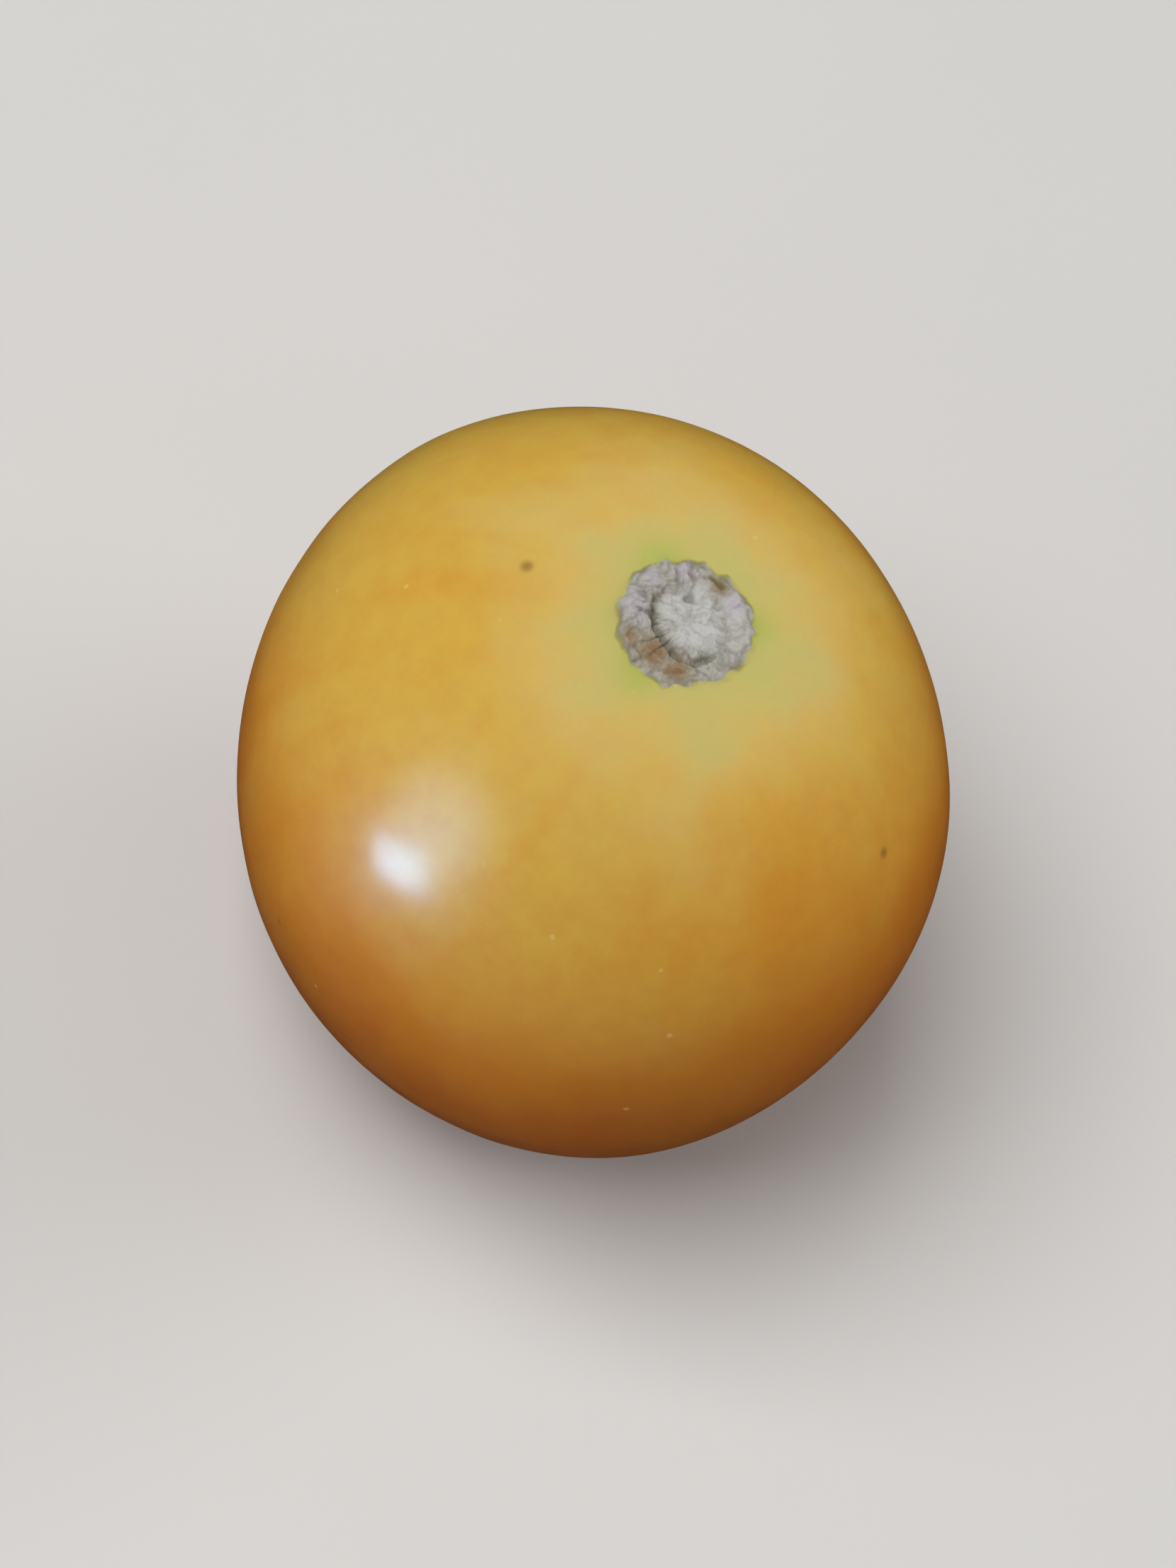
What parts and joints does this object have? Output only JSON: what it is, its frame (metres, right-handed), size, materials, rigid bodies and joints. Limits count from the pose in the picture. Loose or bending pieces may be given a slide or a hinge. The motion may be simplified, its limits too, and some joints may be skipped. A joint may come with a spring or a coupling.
{
  "type": "physalis berry",
  "caption": "Round smooth golden-orange berry, taken out of its husk, with a pale corky stem scar on top and a small flat at the blossom end to rest on.",
  "frame": {"origin": "middle of the small flat at the blossom end, on the surface that the berry rests on", "axes": "+Z is the berry's own axis, from the blossom end up to the stem scar; +Y is its broader width and +X its narrower one"},
  "size_m": [0.0209, 0.0223, 0.0215],
  "materials": {
    "berry_skin": "smooth waxy fruit skin, golden orange, paling to yellow-green around a grey corky stem scar"
  },
  "bodies": {
    "root": {"berry": "berry_skin"}
  },
  "joints": []
}
